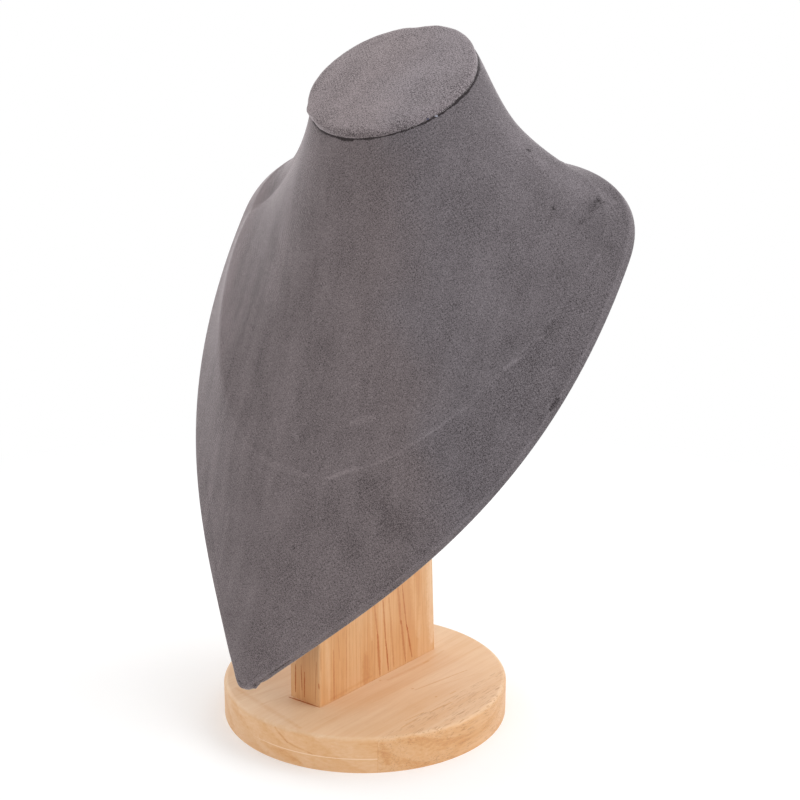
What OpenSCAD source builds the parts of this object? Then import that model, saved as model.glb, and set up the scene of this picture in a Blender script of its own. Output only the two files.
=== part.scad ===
// Necklace stand: a velvet-covered bust leaning back on a wooden post and a round wooden base.
// The bust's own pieces are drawn flat, with x across, y up from the tip and z out of the front,
// and on_bust() stands them up at the bust's lean. The bust faces -Y.

/* [Base] */
// Diameter of the round base
base_d = 130; // [110:1:160]
// Thickness of the base
base_h = 16; // [14:0.5:24]
// Rounding of the base's upper edge
base_round = 2; // [0.5:0.5:4]

/* [Post] */
// Depth of the post from front to back at its foot
post_d = 81; // [70:1:95]
// Thickness of the plank that the post is sawn from
post_t = 18; // [14:0.5:24]
// Height of the post's flat top above the table
post_h = 190; // [165:1:200]
// Forward lean of the post's back edge in degrees
post_back_lean = 3; // [0:0.5:5]
// Rounding of the post's upright edges
post_round = 1; // [0.5:0.5:4]

/* [Bust] */
// Lean of the bust's flat back from upright in degrees
bust_lean = 32; // [28:0.5:36]
// Height of the bust's tip above the table
tip_z = 35; // [28:0.5:45]
// Reach of the tip in front of the base's centre
tip_reach = 78.5; // [72:0.5:84]
// Bluntness of the tip
tip_blunt = 4; // [2:0.5:6]
// Width across the shoulders
bust_w = 216; // [190:2:236]
// Distance from the tip up to the widest place
wide_v = 213; // [200:1:222]
// Distance from the tip up to the shoulder's inner end
shoulder_v = 251; // [247:1:255]
// Half the distance between the shoulders' inner ends
shoulder_u = 65; // [58:1:72]
// Distance from the tip up to the nape
nape_v = 271; // [266:1:276]
// Height of the form's upright edge
edge_h = 1; // [0.8:0.1:3]

/* [Chest] */
// Distance from the tip up to the chest's crease
crease_v = 92; // [78:1:106]
// Height of the crease above the edge at its lowest place
crease_h = 19; // [14:0.5:26]
// Width of the bevelled border at the widest place
border_w = 9; // [7:0.5:14]
// Height of the crease above the edge at the widest place
border_h = 4.5; // [3:0.5:9]
// Wall of the moulded form
form_wall = 2.5; // [2:0.1:3.5]
// Width of the form's bonding flange at the widest place
flange_w = 9; // [7:0.5:12]

/* [Neck] */
// Width of the neck's open end
neck_w = 79.5; // [74:0.5:85]
// Depth of the neck's open end
neck_d = 66.5; // [60:0.5:72]
// Distance from the tip up to the neck's centre
neck_v = 260; // [254:0.5:266]
// Height of the neck's end above the back board
neck_h = 49; // [42:0.5:56]
// Tilt of the neck's end against the back board in degrees
neck_tilt = 19; // [14:0.5:22]

/* [Neck cap] */
// Thickness of the cap board
cap_t = 2; // [1.5:0.1:4]
// Overhang of the covered cap past the covered neck
cap_overhang = 0.5; // [0.3:0.1:2]
// Width of the cover's hem under the cap
cap_hem = 9; // [5:0.5:14]

/* [Velvet and boards] */
// Thickness of the velvet
velvet_t = 0.7; // [0.5:0.1:1.2]
// Glue line between the velvet and what it covers
glue_gap = 0.1; // [0.1:0.05:0.3]
// Width of the velvet's hem on the back at the widest place
hem_w = 12; // [10:0.5:18]
// Thickness of the back board
board_t = 2; // [1.5:0.1:4]
// Thickness of the lining on the back
lining_t = 1.2; // [0.8:0.1:2]
// Distance from the bust's edge to the lining's edge at the widest place
lining_inset = 6; // [4:0.5:8]
// Clearance of the lining's slot round the post
slot_clear = 0.5; // [0.3:0.1:1]

/* [Screws] */
// Diameter of the screws' shanks
screw_d = 4; // [3:0.5:5]
// Diameter of the screws' countersunk heads
head_d = 8; // [7:0.5:9]
// Length of the screws through the base
base_screw_l = 38; // [30:1:45]
// Distance between the screws through the base
base_screw_gap = 44; // [30:1:54]
// Length of the screws through the back board
board_screw_l = 20; // [14:1:24]
// Distance from the tip up to the lower screw in the back board
board_screw_v = 85; // [80:1:95]
// Distance between the screws in the back board
board_screw_gap = 55; // [40:1:65]
// Depth of the screw heads below the base's underside
head_sink = 1; // [0.5:0.1:2]
// Clearance of the screw holes in the base and the board, across
hole_clear = 0.5; // [0.3:0.1:1]
// Clearance of the pilot holes in the post, across
pilot_clear = 0.1; // [0.05:0.05:0.2]

/* [Hidden] */
wood = "burlywood";
velvet = "dimgray";
steel = "silver";
resin = "ivory";
fibre = "peru";
round_fn = 96;
screw_fn = 32;
// Steps along half of the outline: from the tip to the widest place, round the shoulder, to the nape
side_n = 16;
shoulder_n = 8;
nape_n = 8;
half_n = side_n + shoulder_n + nape_n;
// Rows of points on the border and from the crease to the neck's end
border_n = 3;
chest_n = 12;
// Points crowd towards the tip by this power
tip_crowd = 1.3;
// Direction of the outline where it leaves the tip, from the bust's middle line in degrees
tip_angle = 39;
// Pulls of the outline's curves, as shares of the stretch that each one shapes
side_pull_low = 0.3;
side_pull_high = 0.55;
shoulder_pull_low = 0.75;
shoulder_pull_high = 0.35;
shoulder_slope = 6;
nape_pull = 0.45;
// The crease runs level at its lowest place and straight up at the widest one
crease_pull_low = 0.65;
crease_pull_high = 0.25;
crease_power = 1.7;
// Width and height of the rounded edge that the border narrows to at the nape
edge_round_w = 2.5;
edge_round_h = 7.5;
// Angles round the neck's end that face the widest place and the shoulder's inner end
rim_wide = 58;
rim_shoulder = 95;
// Slopes with which the surface leaves the crease in front and at the sides, in degrees
front_slope = 3;
side_slope = 8;
crease_share = 0.4;
nape_rise = 12;
// Length of the neck's straight end, and how far it has flared below that
neck_run = 8;
flare_front = 12;
flare_side = 3;
half_w = bust_w / 2;
bust_centre = [0, 190];
cloth = velvet_t + glue_gap;
layer = velvet_t + 2 * glue_gap;
head_h = (head_d - screw_d) / 2;
cut = 500;
fit = 0.01;

function mix(a, b, s) = a + (b - a) * s;
function bezier(p, t) =
    pow(1 - t, 3) * p[0] + 3 * pow(1 - t, 2) * t * p[1] + 3 * (1 - t) * t * t * p[2] + t * t * t * p[3];
function blunt(p) = [p[0], norm([p[1] + tip_blunt / 2, tip_blunt]) - tip_blunt / 2];
function flip(p) = [-p[0], p[1], p[2]];
// The whole ring of a row whose right half is given from the tip up to the nape
function whole(row) = concat(row, [for (k = [half_n - 1:-1:1]) flip(row[k])]);
function side_t(k) = pow(min(k, side_n) / side_n, tip_crowd);
function shoulder_t(k) = max(0, min(1, (k - side_n) / shoulder_n));
function nape_t(k) = max(0, (k - side_n - shoulder_n) / nape_n);

// Right half of the bust's outline
wide = [half_w, wide_v];
inner_end = [shoulder_u, shoulder_v];
slope_way = [cos(shoulder_slope), -sin(shoulder_slope)];
side_curve = [
    [0, -tip_blunt / 2],
    [0, -tip_blunt / 2] + side_pull_low * wide_v * [sin(tip_angle), cos(tip_angle)],
    wide - [0, side_pull_high * wide_v],
    wide];
shoulder_curve = [
    wide,
    wide + [0, shoulder_pull_low * (shoulder_v - wide_v)],
    inner_end + shoulder_pull_high * (half_w - shoulder_u) * slope_way,
    inner_end];
nape_curve = [
    inner_end,
    inner_end - nape_pull * shoulder_u * slope_way,
    [nape_pull * shoulder_u, nape_v],
    [0, nape_v]];
outline = [for (k = [0:half_n])
    k <= side_n ? blunt(bezier(side_curve, side_t(k)))
    : k <= side_n + shoulder_n ? bezier(shoulder_curve, shoulder_t(k))
    : bezier(nape_curve, nape_t(k))];
function outward(k) =
    k == 0 ? [0, -1]
    : k == half_n ? [0, 1]
    : let (along = outline[k + 1] - outline[k - 1]) [along[1], -along[0]] / norm(along);

// Right half of the crease: its place on the bust and its height above the edge
crease_curve = [
    [0, crease_v],
    [crease_pull_low * (half_w - border_w), crease_v],
    wide - [border_w, crease_pull_high * (wide_v - crease_v)],
    wide - [border_w, 0]];
function border(k) = mix(border_w, edge_round_w, shoulder_t(k));
function crease_at(k) =
    k <= side_n ? bezier(crease_curve, side_t(k)) : outline[k] - border(k) * outward(k);
function crease_up(k) =
    k <= side_n ? mix(crease_h, border_h, pow(side_t(k), crease_power))
    : mix(border_h, edge_round_h, shoulder_t(k));

// The neck's end: an ellipse in a plane tilted by neck_tilt
neck_axis = [0, sin(neck_tilt), cos(neck_tilt)];
neck_front = [0, -cos(neck_tilt), sin(neck_tilt)];
neck_centre = [0, neck_v, neck_h];
function rim_angle(k) =
    k <= side_n ? rim_wide * side_t(k)
    : mix(mix(rim_wide, rim_shoulder, shoulder_t(k)), 180, nape_t(k));
function rim_at(k, grow) =
    neck_centre + (neck_w / 2 + grow) * sin(rim_angle(k)) * [1, 0, 0]
    + (neck_d / 2 + grow) * cos(rim_angle(k)) * neck_front;

// From the crease to the neck's end each line is one curve: it leaves the crease gently inwards,
// or straight up at the nape, and ends along the neck
function flare(k) =
    flare_side * pow(sin(rim_angle(k)), 2) + flare_front * pow(max(0, cos(rim_angle(k))), 2);
function chest_curve(k) =
    let (low = concat(crease_at(k), [edge_h + crease_up(k)]),
        high = rim_at(k, 0),
        inwards = [high[0] - low[0], high[1] - low[1], 0],
        slope = front_slope * pow(max(0, cos(rim_angle(k))), 2) + side_slope * pow(sin(rim_angle(k)), 2),
        leave = crease_share * (inwards + [0, 0, tan(slope) * norm(inwards)]),
        out = rim_at(k, 1) - high)
    [low,
        low + mix(leave, [0, 0, nape_rise], nape_t(k)),
        high - neck_run * neck_axis + flare(k) * out / norm(out),
        high];

// Rows of the form's outer surface, from its seat to the neck's end
function edge_row(up) = whole([for (k = [0:half_n]) concat(outline[k], [up])]);
function border_row(s) = whole([for (k = [0:half_n])
    mix(concat(outline[k], [edge_h]), chest_curve(k)[0], s)]);
function chest_row(s) = whole([for (k = [0:half_n]) bezier(chest_curve(k), s)]);
form_rows = concat(
    [edge_row(0), edge_row(edge_h)],
    [for (r = [1:border_n - 1]) border_row(r / border_n)],
    [for (r = [0:chest_n]) chest_row(r / chest_n)]);
last = len(form_rows) - 1;
first_chest = last - chest_n + 1;

// The outward normal of the form's surface at a point of its rows, and a row moved along it
function normal_at(r, k) =
    let (n = 2 * half_n,
        along = form_rows[r][(k + 1) % n] - form_rows[r][(k + n - 1) % n],
        up = form_rows[min(r + 1, last)][k] - form_rows[max(r - 1, 0)][k],
        across = cross(along, up))
    across / norm(across);
function moved_row(r, d) = [for (k = [0:2 * half_n - 1]) form_rows[r][k] + d * normal_at(r, k)];
function rim_row(grow) = whole([for (k = [0:half_n]) rim_at(k, grow)]);
// A row inside the outline, drawn in towards the bust's centre, w wide at the widest place
function inset(k, w) = mix(outline[k], bust_centre, w / half_w);
function inset_row(w, up) = whole([for (k = [0:half_n]) concat(inset(k, w), [up])]);
function flat_shape(w) = [for (p = inset_row(w, 0)) [p[0], p[1]]];
// A row of the outline grown by d
function grown_row(d, up) = whole([for (k = [0:half_n]) concat(outline[k] + d * outward(k), [up])]);

// A closed skin through rows of points, up its outer face and back down its inner one; the last row
// joins the first one. The inner face is split along the same diagonals as the outer one, so that
// layers which lie on each other don't cut into each other.
module skin(outer, inner) {
    rows = concat(outer, [for (r = [len(inner) - 1:-1:0]) inner[r]]);
    m = len(rows);
    n = len(rows[0]);
    polyhedron(
        points = [for (row = rows) each row],
        faces = [for (r = [0:m - 1], k = [0:n - 1], half = [0, 1])
            let (a = r * n + k, b = r * n + (k + 1) % n, up = ((r + 1) % m - r) * n)
            r < len(outer)
                ? (half == 0 ? [a, a + up, b] : [b, a + up, b + up])
                : (half == 0 ? [a, a + up, b + up] : [a, b + up, b])]);
}

// A lump through rows of points, closed by the flat first and last rows
module lump(rows) {
    m = len(rows);
    n = len(rows[0]);
    polyhedron(
        points = [for (row = rows) each row],
        faces = concat(
            [for (r = [0:m - 2], k = [0:n - 1], half = [0, 1])
                let (a = r * n + k, b = r * n + (k + 1) % n)
                half == 0 ? [a, a + n, b] : [b, a + n, b + n]],
            [[for (k = [0:n - 1]) k], [for (k = [n - 1:-1:0]) (m - 1) * n + k]]));
}

module on_bust() {
    translate([0, -tip_reach, tip_z])
        rotate([90 - bust_lean, 0, 0])
            children();
}

// A countersunk wood screw that points up from its head
module wood_screw(length) {
    difference() {
        rotate_extrude($fn = screw_fn)
            polygon([[0, 0], [head_d / 2, 0], [screw_d / 2, head_h], [screw_d / 2, length - screw_d],
                [0, length]]);
        for (turn = [0, 90])
            rotate([0, 0, turn])
                translate([-head_d / 4, -screw_d / 10, -fit])
                    cube([head_d / 2, screw_d / 5, head_h / 2]);
    }
}

// The hole that the screw passes through, from its head up
module screw_hole(length) {
    translate([0, 0, -cut])
        cylinder(h = cut + fit, d = head_d + hole_clear, $fn = screw_fn);
    cylinder(h = head_h, d1 = head_d + hole_clear, d2 = screw_d + hole_clear, $fn = screw_fn);
    cylinder(h = length, d = screw_d + hole_clear, $fn = screw_fn);
}

module pilot_hole(length) {
    cylinder(h = length + pilot_clear, d = screw_d + pilot_clear, $fn = screw_fn);
}

module at_base_screws() {
    for (side = [-1, 1])
        translate([0, side * base_screw_gap / 2, head_sink])
            children();
}

// The board's screws point backwards, with their heads flush in the board's front
module at_board_screws() {
    for (step = [0, 1])
        on_bust()
            translate([0, board_screw_v + step * board_screw_gap, 0])
                rotate([180, 0, 0])
                    children();
}

// The post's plank with square edges, grown all round by a clearance: its front edge is upright and
// its back edge leans forwards
module plank(grow) {
    front = -post_d / 2 - grow;
    back = post_d / 2 + grow;
    top = post_h + grow;
    translate([-post_t / 2 - grow, 0, 0])
        rotate([90, 0, 90])
            linear_extrude(post_t + 2 * grow)
                polygon([[front, base_h], [back, base_h],
                    [back - (top - base_h) * tan(post_back_lean), top], [front, top]]);
}

// What rounding a plank's upright edges takes away, for a face that the edges' centres lie behind
module edge_waste() {
    for (side = [0, 1])
        mirror([side, 0, 0])
            translate([post_t / 2 - post_round, -post_round, -cut / 2])
                linear_extrude(cut)
                    difference() {
                        square(post_round + fit);
                        circle(post_round, $fn = screw_fn);
                    }
}

module base_disc() {
    color(wood)
        difference() {
            rotate_extrude($fn = round_fn) {
                square([base_d / 2 - base_round, base_h]);
                square([base_d / 2, base_h - base_round]);
                translate([base_d / 2 - base_round, base_h - base_round])
                    intersection() {
                        circle(base_round, $fn = screw_fn);
                        square(base_round);
                    }
            }
            at_base_screws()
                screw_hole(cut);
        }
}

module base_screws() {
    color(steel)
        at_base_screws()
            wood_screw(base_screw_l);
}

// The plank stands with a narrow edge to the front, and its top is sawn along the back board
module post() {
    color(wood)
        difference() {
            plank(0);
            translate([0, post_d / 2, base_h])
                rotate([post_back_lean, 0, 0])
                    edge_waste();
            translate([0, -post_d / 2, 0])
                mirror([0, 1, 0])
                    edge_waste();
            on_bust()
                translate([-cut / 2, -cut / 2, -board_t])
                    cube(cut);
            at_base_screws()
                pilot_hole(base_screw_l);
            at_board_screws()
                pilot_hole(board_screw_l);
        }
}

module back_board() {
    color(fibre)
        difference() {
            on_bust()
                translate([0, 0, -board_t])
                    linear_extrude(board_t)
                        polygon(flat_shape(0));
            at_board_screws()
                screw_hole(cut);
        }
}

module board_screws() {
    color(steel)
        at_board_screws()
            wood_screw(board_screw_l);
}

// The hollow moulded chest and neck: a skin that is open at the back and at the neck's end
module bust_form() {
    color(resin)
        on_bust()
            skin(form_rows, concat(
                [inset_row(flange_w, 0)],
                [for (r = [first_chest:last - 1]) moved_row(r, -form_wall)],
                [rim_row(-form_wall)]));
}

// The rows of one face of the velvet, d outside the form, from its hem on the back to the neck's end
function velvet_rows(d) = concat(
    [inset_row(hem_w, -board_t - d), grown_row(d, -board_t - d)],
    [for (r = [1:last - 1]) moved_row(r, d)],
    [rim_row(d)]);

// The velvet over the form, turned round the bust's edge onto the back board
module front_cover() {
    color(velvet)
        on_bust()
            skin(velvet_rows(cloth), velvet_rows(glue_gap));
}

// The lining covers the hem and has a slot for the post
module back_lining() {
    color(velvet)
        difference() {
            on_bust()
                translate([0, 0, -board_t - layer - lining_t])
                    linear_extrude(lining_t)
                        polygon(flat_shape(lining_inset));
            plank(slot_clear);
        }
}

// One ring of the cap, up along the neck's axis from the neck's end
function cap_row(grow, up) = [for (p = rim_row(grow)) p + up * neck_axis];
cap_grow = cloth + cap_overhang;

module cap_board() {
    color(fibre)
        on_bust()
            lump([cap_row(cap_grow - cloth, layer), cap_row(cap_grow - cloth, layer + cap_t)]);
}

// The velvet over the cap board, turned under its edge
module cap_cover() {
    top = layer + cap_t;
    soft = velvet_t;
    color(velvet)
        on_bust()
            lump([
                cap_row(cap_grow - velvet_t, top + glue_gap),
                cap_row(cap_grow - velvet_t, glue_gap + velvet_t),
                cap_row(cap_grow - cap_hem, glue_gap + velvet_t),
                cap_row(cap_grow - cap_hem, glue_gap),
                cap_row(cap_grow - soft, glue_gap),
                cap_row(cap_grow, glue_gap + soft),
                cap_row(cap_grow, top + cloth - soft),
                cap_row(cap_grow - soft, top + cloth)]);
}

base_disc();
base_screws();
post();
back_board();
board_screws();
bust_form();
front_cover();
back_lining();
cap_board();
cap_cover();
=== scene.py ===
import bmesh, bpy, math
import numpy as np
from mathutils import Matrix, Vector, noise
from mathutils.bvhtree import BVHTree


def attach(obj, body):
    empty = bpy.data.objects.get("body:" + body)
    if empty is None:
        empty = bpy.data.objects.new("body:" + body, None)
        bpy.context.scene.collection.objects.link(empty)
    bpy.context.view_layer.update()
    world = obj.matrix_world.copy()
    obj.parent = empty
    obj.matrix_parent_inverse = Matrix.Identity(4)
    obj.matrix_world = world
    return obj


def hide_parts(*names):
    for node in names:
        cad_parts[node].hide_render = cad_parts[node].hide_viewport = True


# Looks for a velvet necklace stand. Lengths in the dictionaries are millimetres, z up, the bust faces -y.
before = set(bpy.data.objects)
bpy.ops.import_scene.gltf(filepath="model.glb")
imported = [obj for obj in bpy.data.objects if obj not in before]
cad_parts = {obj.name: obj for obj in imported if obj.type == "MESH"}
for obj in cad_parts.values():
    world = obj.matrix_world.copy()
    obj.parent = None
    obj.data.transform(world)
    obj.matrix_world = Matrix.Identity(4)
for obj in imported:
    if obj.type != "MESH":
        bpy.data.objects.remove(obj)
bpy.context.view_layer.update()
mm = 0.001
scene = bpy.context.scene
scene.view_settings.view_transform = "Standard"
print("frame loaded:", ", ".join(sorted(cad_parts)))


# Node helpers
def addNode(tree, kind, **settings):
    node = tree.nodes.new(kind)
    for name, value in settings.items():
        if hasattr(node, name):
            setattr(node, name, value)
        else:
            node.inputs[name].default_value = value
    return node


def feed(tree, socket, value):
    # links a socket or sets a plain value
    if isinstance(value, bpy.types.NodeSocket):
        tree.links.new(value, socket)
    else:
        socket.default_value = value


def fedNode(tree, kind, values, **settings):
    # a node whose first inputs take the values
    node = addNode(tree, kind, **settings)
    for socket, value in zip(node.inputs, values):
        feed(tree, socket, value)
    return node.outputs


def calc(tree, operation, *values):
    return fedNode(tree, "ShaderNodeMath", values, operation=operation)[0]


def times(tree, first, second):
    return calc(tree, "MULTIPLY", first, second)


def plus(tree, first, second):
    return calc(tree, "ADD", first, second)


def minus(tree, first, second):
    return calc(tree, "SUBTRACT", first, second)


def added(tree, value, factor, base):
    # the value times the factor, added to the base
    return calc(tree, "MULTIPLY_ADD", value, factor, base)


def gapTo(tree, value, middle):
    return calc(tree, "ABSOLUTE", minus(tree, value, middle))


def clamped(tree, value):
    return calc(tree, "MINIMUM", calc(tree, "MAXIMUM", value, 0.0), 1.0)


def vectorCalc(tree, operation, *values):
    outputs = fedNode(tree, "ShaderNodeVectorMath", values, operation=operation)
    return outputs["Value" if operation in ("LENGTH", "DOT_PRODUCT", "DISTANCE") else "Vector"]


def resized(tree, vector, factor):
    node = addNode(tree, "ShaderNodeVectorMath", operation="SCALE")
    feed(tree, node.inputs[0], vector)
    feed(tree, node.inputs["Scale"], factor)
    return node.outputs["Vector"]


def split(tree, vector):
    return list(fedNode(tree, "ShaderNodeSeparateXYZ", [vector]))


def joined(tree, *values):
    return fedNode(tree, "ShaderNodeCombineXYZ", values)[0]


def noiseOf(tree, vector, scale, detail=2.0, roughness=0.5):
    node = addNode(tree, "ShaderNodeTexNoise", Detail=detail, Roughness=roughness)
    feed(tree, node.inputs["Vector"], vector)
    feed(tree, node.inputs["Scale"], scale)
    return node.outputs["Fac"]


def swing(tree, vector, scale, detail=2.0, roughness=0.5):
    # a noise around zero
    return minus(tree, noiseOf(tree, vector, scale, detail, roughness), 0.5)


def ramp(tree, value, start, end, low=0.0, high=1.0, smooth=True):
    node = addNode(tree, "ShaderNodeMapRange", interpolation_type="SMOOTHSTEP" if smooth else "LINEAR")
    for name, given in (("Value", value), ("From Min", start), ("From Max", end), ("To Min", low),
                        ("To Max", high)):
        feed(tree, node.inputs[name], given)
    return node.outputs["Result"]


def blend(tree, amount, first, second, mode="MIX"):
    node = addNode(tree, "ShaderNodeMix", data_type="RGBA", blend_type=mode)
    colours = [socket for socket in node.inputs if socket.type == "RGBA"]
    for socket, value in zip([node.inputs[0]] + colours, (amount, first, second)):
        feed(tree, socket, value)
    return [socket for socket in node.outputs if socket.type == "RGBA"][0]


def attributeOf(tree, name):
    return addNode(tree, "ShaderNodeAttribute", attribute_name=name).outputs["Fac"]


def emptyTree(owner):
    owner.use_nodes = True
    owner.node_tree.nodes.clear()
    return owner.node_tree


# Camera and studio
photoCamera = {
    "place": (394.2, -449.0, 298.4),
    "azimuth": 39.81,
    "pitch": 14.34,
    "roll": 0.31,
    "lens": 63.0,
    "sensor": 36.0,
    "photoSide": 800,  # pixels
}


def cameraAxes():
    a, e, r = (math.radians(photoCamera[key]) for key in ("azimuth", "pitch", "roll"))
    back = Vector((math.sin(a) * math.cos(e), -math.cos(a) * math.cos(e), math.sin(e)))
    flatRight = Vector((math.cos(a), math.sin(a), 0))
    flatUp = back.cross(flatRight)
    right = flatRight * math.cos(r) + flatUp * math.sin(r)
    return right, back.cross(right), back


def makeCamera():
    data = bpy.data.cameras.new("photoCamera")
    data.lens, data.sensor_width = photoCamera["lens"], photoCamera["sensor"]
    camera = bpy.data.objects.new("photoCamera", data)
    scene.collection.objects.link(camera)
    turn = Matrix(cameraAxes()).transposed().to_4x4()
    camera.matrix_world = Matrix.Translation(Vector(photoCamera["place"]) * mm) @ turn
    scene.camera = camera


def pixelRay(x, y):
    # where a pixel of the photo looks from and to
    right, up, back = cameraAxes()
    focal = photoCamera["lens"] / photoCamera["sensor"] * photoCamera["photoSide"]
    half = photoCamera["photoSide"] / 2
    way = right * ((x - half) / focal) + up * ((half - y) / focal) - back
    return Vector(photoCamera["place"]) * mm, way.normalized()


studio = {
    "worldLight": 0.78,
    "white": (1, 1, 1, 1),
    "floorSide": 4000,
    "floorColour": (0.84, 0.84, 0.84, 1),
    "floorGlow": 0.2,
    "paperReach": (230, 480),  # the floor turns to plain white between these distances
    "aim": (0, 0, 150),  # what the lamps point at
    "lamps": [  # name, place, size, watts
        ("topLamp", (50, 420, 1000), 900, 2.4),
        ("leftLamp", (-1000, 150, 550), 450, 1.4),
        ("frontLamp", (250, -1150, 350), 800, 2.0),
        ("rightLamp", (850, 420, 600), 600, 3.6),
    ],
}


def cameraRays(tree):
    # one where the camera, glossy or clear surfaces look straight at it
    path = addNode(tree, "ShaderNodeLightPath").outputs
    seen = calc(tree, "MAXIMUM", path["Is Camera Ray"], path["Is Glossy Ray"])
    return calc(tree, "MAXIMUM", seen, path["Is Transmission Ray"])


def finishTree(tree, kind, amount, first, second):
    # mixes two shaders and shows them
    mixed = fedNode(tree, "ShaderNodeMixShader", (amount, first.outputs[0], second.outputs[0]))[0]
    fedNode(tree, kind, [mixed])


def makeWorld():
    scene.world = bpy.data.worlds.new("studioWorld")
    tree = emptyTree(scene.world)
    light = addNode(tree, "ShaderNodeBackground", Color=studio["white"], Strength=studio["worldLight"])
    white = addNode(tree, "ShaderNodeBackground", Color=studio["white"], Strength=1.0)
    finishTree(tree, "ShaderNodeOutputWorld", cameraRays(tree), light, white)


def makeFloor():
    half = studio["floorSide"] / 2 * mm
    corners = [(x * half, y * half, 0) for x, y in ((-1, -1), (1, -1), (1, 1), (-1, 1))]
    mesh = bpy.data.meshes.new("floor")
    mesh.from_pydata(corners, [], [(0, 1, 2, 3)])
    floor = bpy.data.objects.new("floor", mesh)
    scene.collection.objects.link(floor)
    material = bpy.data.materials.new("floorPaper")
    tree = emptyTree(material)
    watched = cameraRays(tree)
    paper = addNode(tree, "ShaderNodeBsdfDiffuse", Color=studio["floorColour"])
    glow = addNode(tree, "ShaderNodeEmission", Color=studio["white"])
    feed(tree, glow.inputs["Strength"], times(tree, watched, studio["floorGlow"]))
    both = addNode(tree, "ShaderNodeAddShader")
    feed(tree, both.inputs[0], paper.outputs[0])
    feed(tree, both.inputs[1], glow.outputs[0])
    white = addNode(tree, "ShaderNodeEmission", Color=studio["white"], Strength=1.0)
    place = addNode(tree, "ShaderNodeTexCoord").outputs["Object"]
    near, end = studio["paperReach"]
    far = ramp(tree, vectorCalc(tree, "LENGTH", place), near * mm, end * mm)
    finishTree(tree, "ShaderNodeOutputMaterial", times(tree, watched, far), both, white)
    mesh.materials.append(material)


def makeLamps():
    aim = Vector(studio["aim"]) * mm
    for name, place, size, watts in studio["lamps"]:
        data = bpy.data.lights.new(name, "AREA")
        data.size, data.energy = size * mm, watts
        lamp = bpy.data.objects.new(name, data)
        scene.collection.objects.link(lamp)
        lamp.location = Vector(place) * mm
        lamp.rotation_euler = (lamp.location - aim).to_track_quat("Z", "Y").to_euler()


makeCamera()
makeWorld()
makeFloor()
makeLamps()
print("camera and studio set")


# Shared node groups
def newGroup(name, vectors, values, outputs):
    # vectors are the names of its vector inputs, values those of its plain ones with what they hold at first
    tree = bpy.data.node_groups.new(name, "ShaderNodeTree")
    for socket in vectors:
        tree.interface.new_socket(socket, in_out="INPUT", socket_type="NodeSocketVector")
    for socket, value in values.items():
        made = tree.interface.new_socket(socket, in_out="INPUT", socket_type="NodeSocketFloat")
        made.default_value = value
    for socket in outputs:
        tree.interface.new_socket(socket, in_out="OUTPUT", socket_type="NodeSocketFloat")
    return tree, addNode(tree, "NodeGroupInput").outputs, addNode(tree, "NodeGroupOutput").inputs


def useGroup(tree, name, **values):
    node = addNode(tree, "ShaderNodeGroup", node_tree=bpy.data.node_groups[name])
    for key, value in values.items():
        feed(tree, node.inputs[key], value)
    return node.outputs


def makeStrokeGroup():
    # a brush stroke between two points, whose edge is worn ragged by a noise around zero
    fray = 2.6  # how far that noise moves the edge, in widths
    shortest = 0.001  # keeps a stroke of no length from dividing by zero
    tree, given, out = newGroup("brushStroke", ["Vector", "Start", "End"],
                                {"Width": 1.5, "Soft": 0.8, "Ragged": 0.0}, ["Mask"])
    reach = vectorCalc(tree, "SUBTRACT", given["End"], given["Start"])
    away = vectorCalc(tree, "SUBTRACT", given["Vector"], given["Start"])
    longSquare = calc(tree, "MAXIMUM", vectorCalc(tree, "DOT_PRODUCT", reach, reach), shortest)
    share = clamped(tree, calc(tree, "DIVIDE", vectorCalc(tree, "DOT_PRODUCT", away, reach), longSquare))
    gap = vectorCalc(tree, "DISTANCE", away, resized(tree, reach, share))
    # the stroke is half as wide at its ends as in its middle
    belly = times(tree, times(tree, share, minus(tree, 1.0, share)), 2.0)
    width = times(tree, given["Width"], plus(tree, belly, 0.5))
    gap = added(tree, given["Ragged"], times(tree, given["Width"], fray), gap)
    core = times(tree, width, minus(tree, 1.0, given["Soft"]))
    feed(tree, out["Mask"], ramp(tree, gap, width, core))


def makeBlotchGroup():
    # soft blotches and long brushed streaks, around zero
    narrow = 2.4  # how much closer streaks lie than blotches
    tree, given, out = newGroup("softBlotches", ["Vector"], {"Size": 20.0, "Stretch": 0.4},
                                ["Blotches", "Streaks"])
    small = resized(tree, given["Vector"], calc(tree, "DIVIDE", 1.0, given["Size"]))
    x, y, z = split(tree, small)
    long = joined(tree, times(tree, x, narrow), times(tree, y, given["Stretch"]), z)
    feed(tree, out["Blotches"], swing(tree, small, 1.0, detail=3.0, roughness=0.55))
    feed(tree, out["Streaks"], swing(tree, long, 1.0, detail=4.0, roughness=0.6))


def makePileGroup():
    # the speckle of a short pile and the small lattice of the cloth under it
    slant = 0.7  # the threads run at 45 degrees, and the pitch is measured square across them
    drift, driftScale = 4.5, 0.35  # how far the lattice bends, in radians
    patch, patchScale = (0.4, 0.62), 0.08  # it shows in patches
    weaveHeight = 0.1
    tree, given, out = newGroup("shortPile", ["Vector"], {"Size": 0.6, "Pitch": 1.5},
                                ["Speckle", "Weave", "Height"])
    place = given["Vector"]
    close = resized(tree, place, calc(tree, "DIVIDE", 1.0, given["Size"]))
    speckle = swing(tree, close, 1.0, detail=0.0)
    bent = times(tree, noiseOf(tree, place, driftScale), drift)
    patches = ramp(tree, noiseOf(tree, place, patchScale), *patch)
    x, y, _ = split(tree, place)
    threads = []
    for way in (1.0, -1.0):
        across = times(tree, added(tree, y, way, x), math.tau * slant)
        turns = calc(tree, "DIVIDE", across, given["Pitch"])
        threads.append(calc(tree, "SINE", plus(tree, turns, bent)))
    weave = times(tree, plus(tree, *threads), patches)
    feed(tree, out["Speckle"], speckle)
    feed(tree, out["Weave"], weave)
    feed(tree, out["Height"], added(tree, weave, weaveHeight, speckle))


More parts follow.
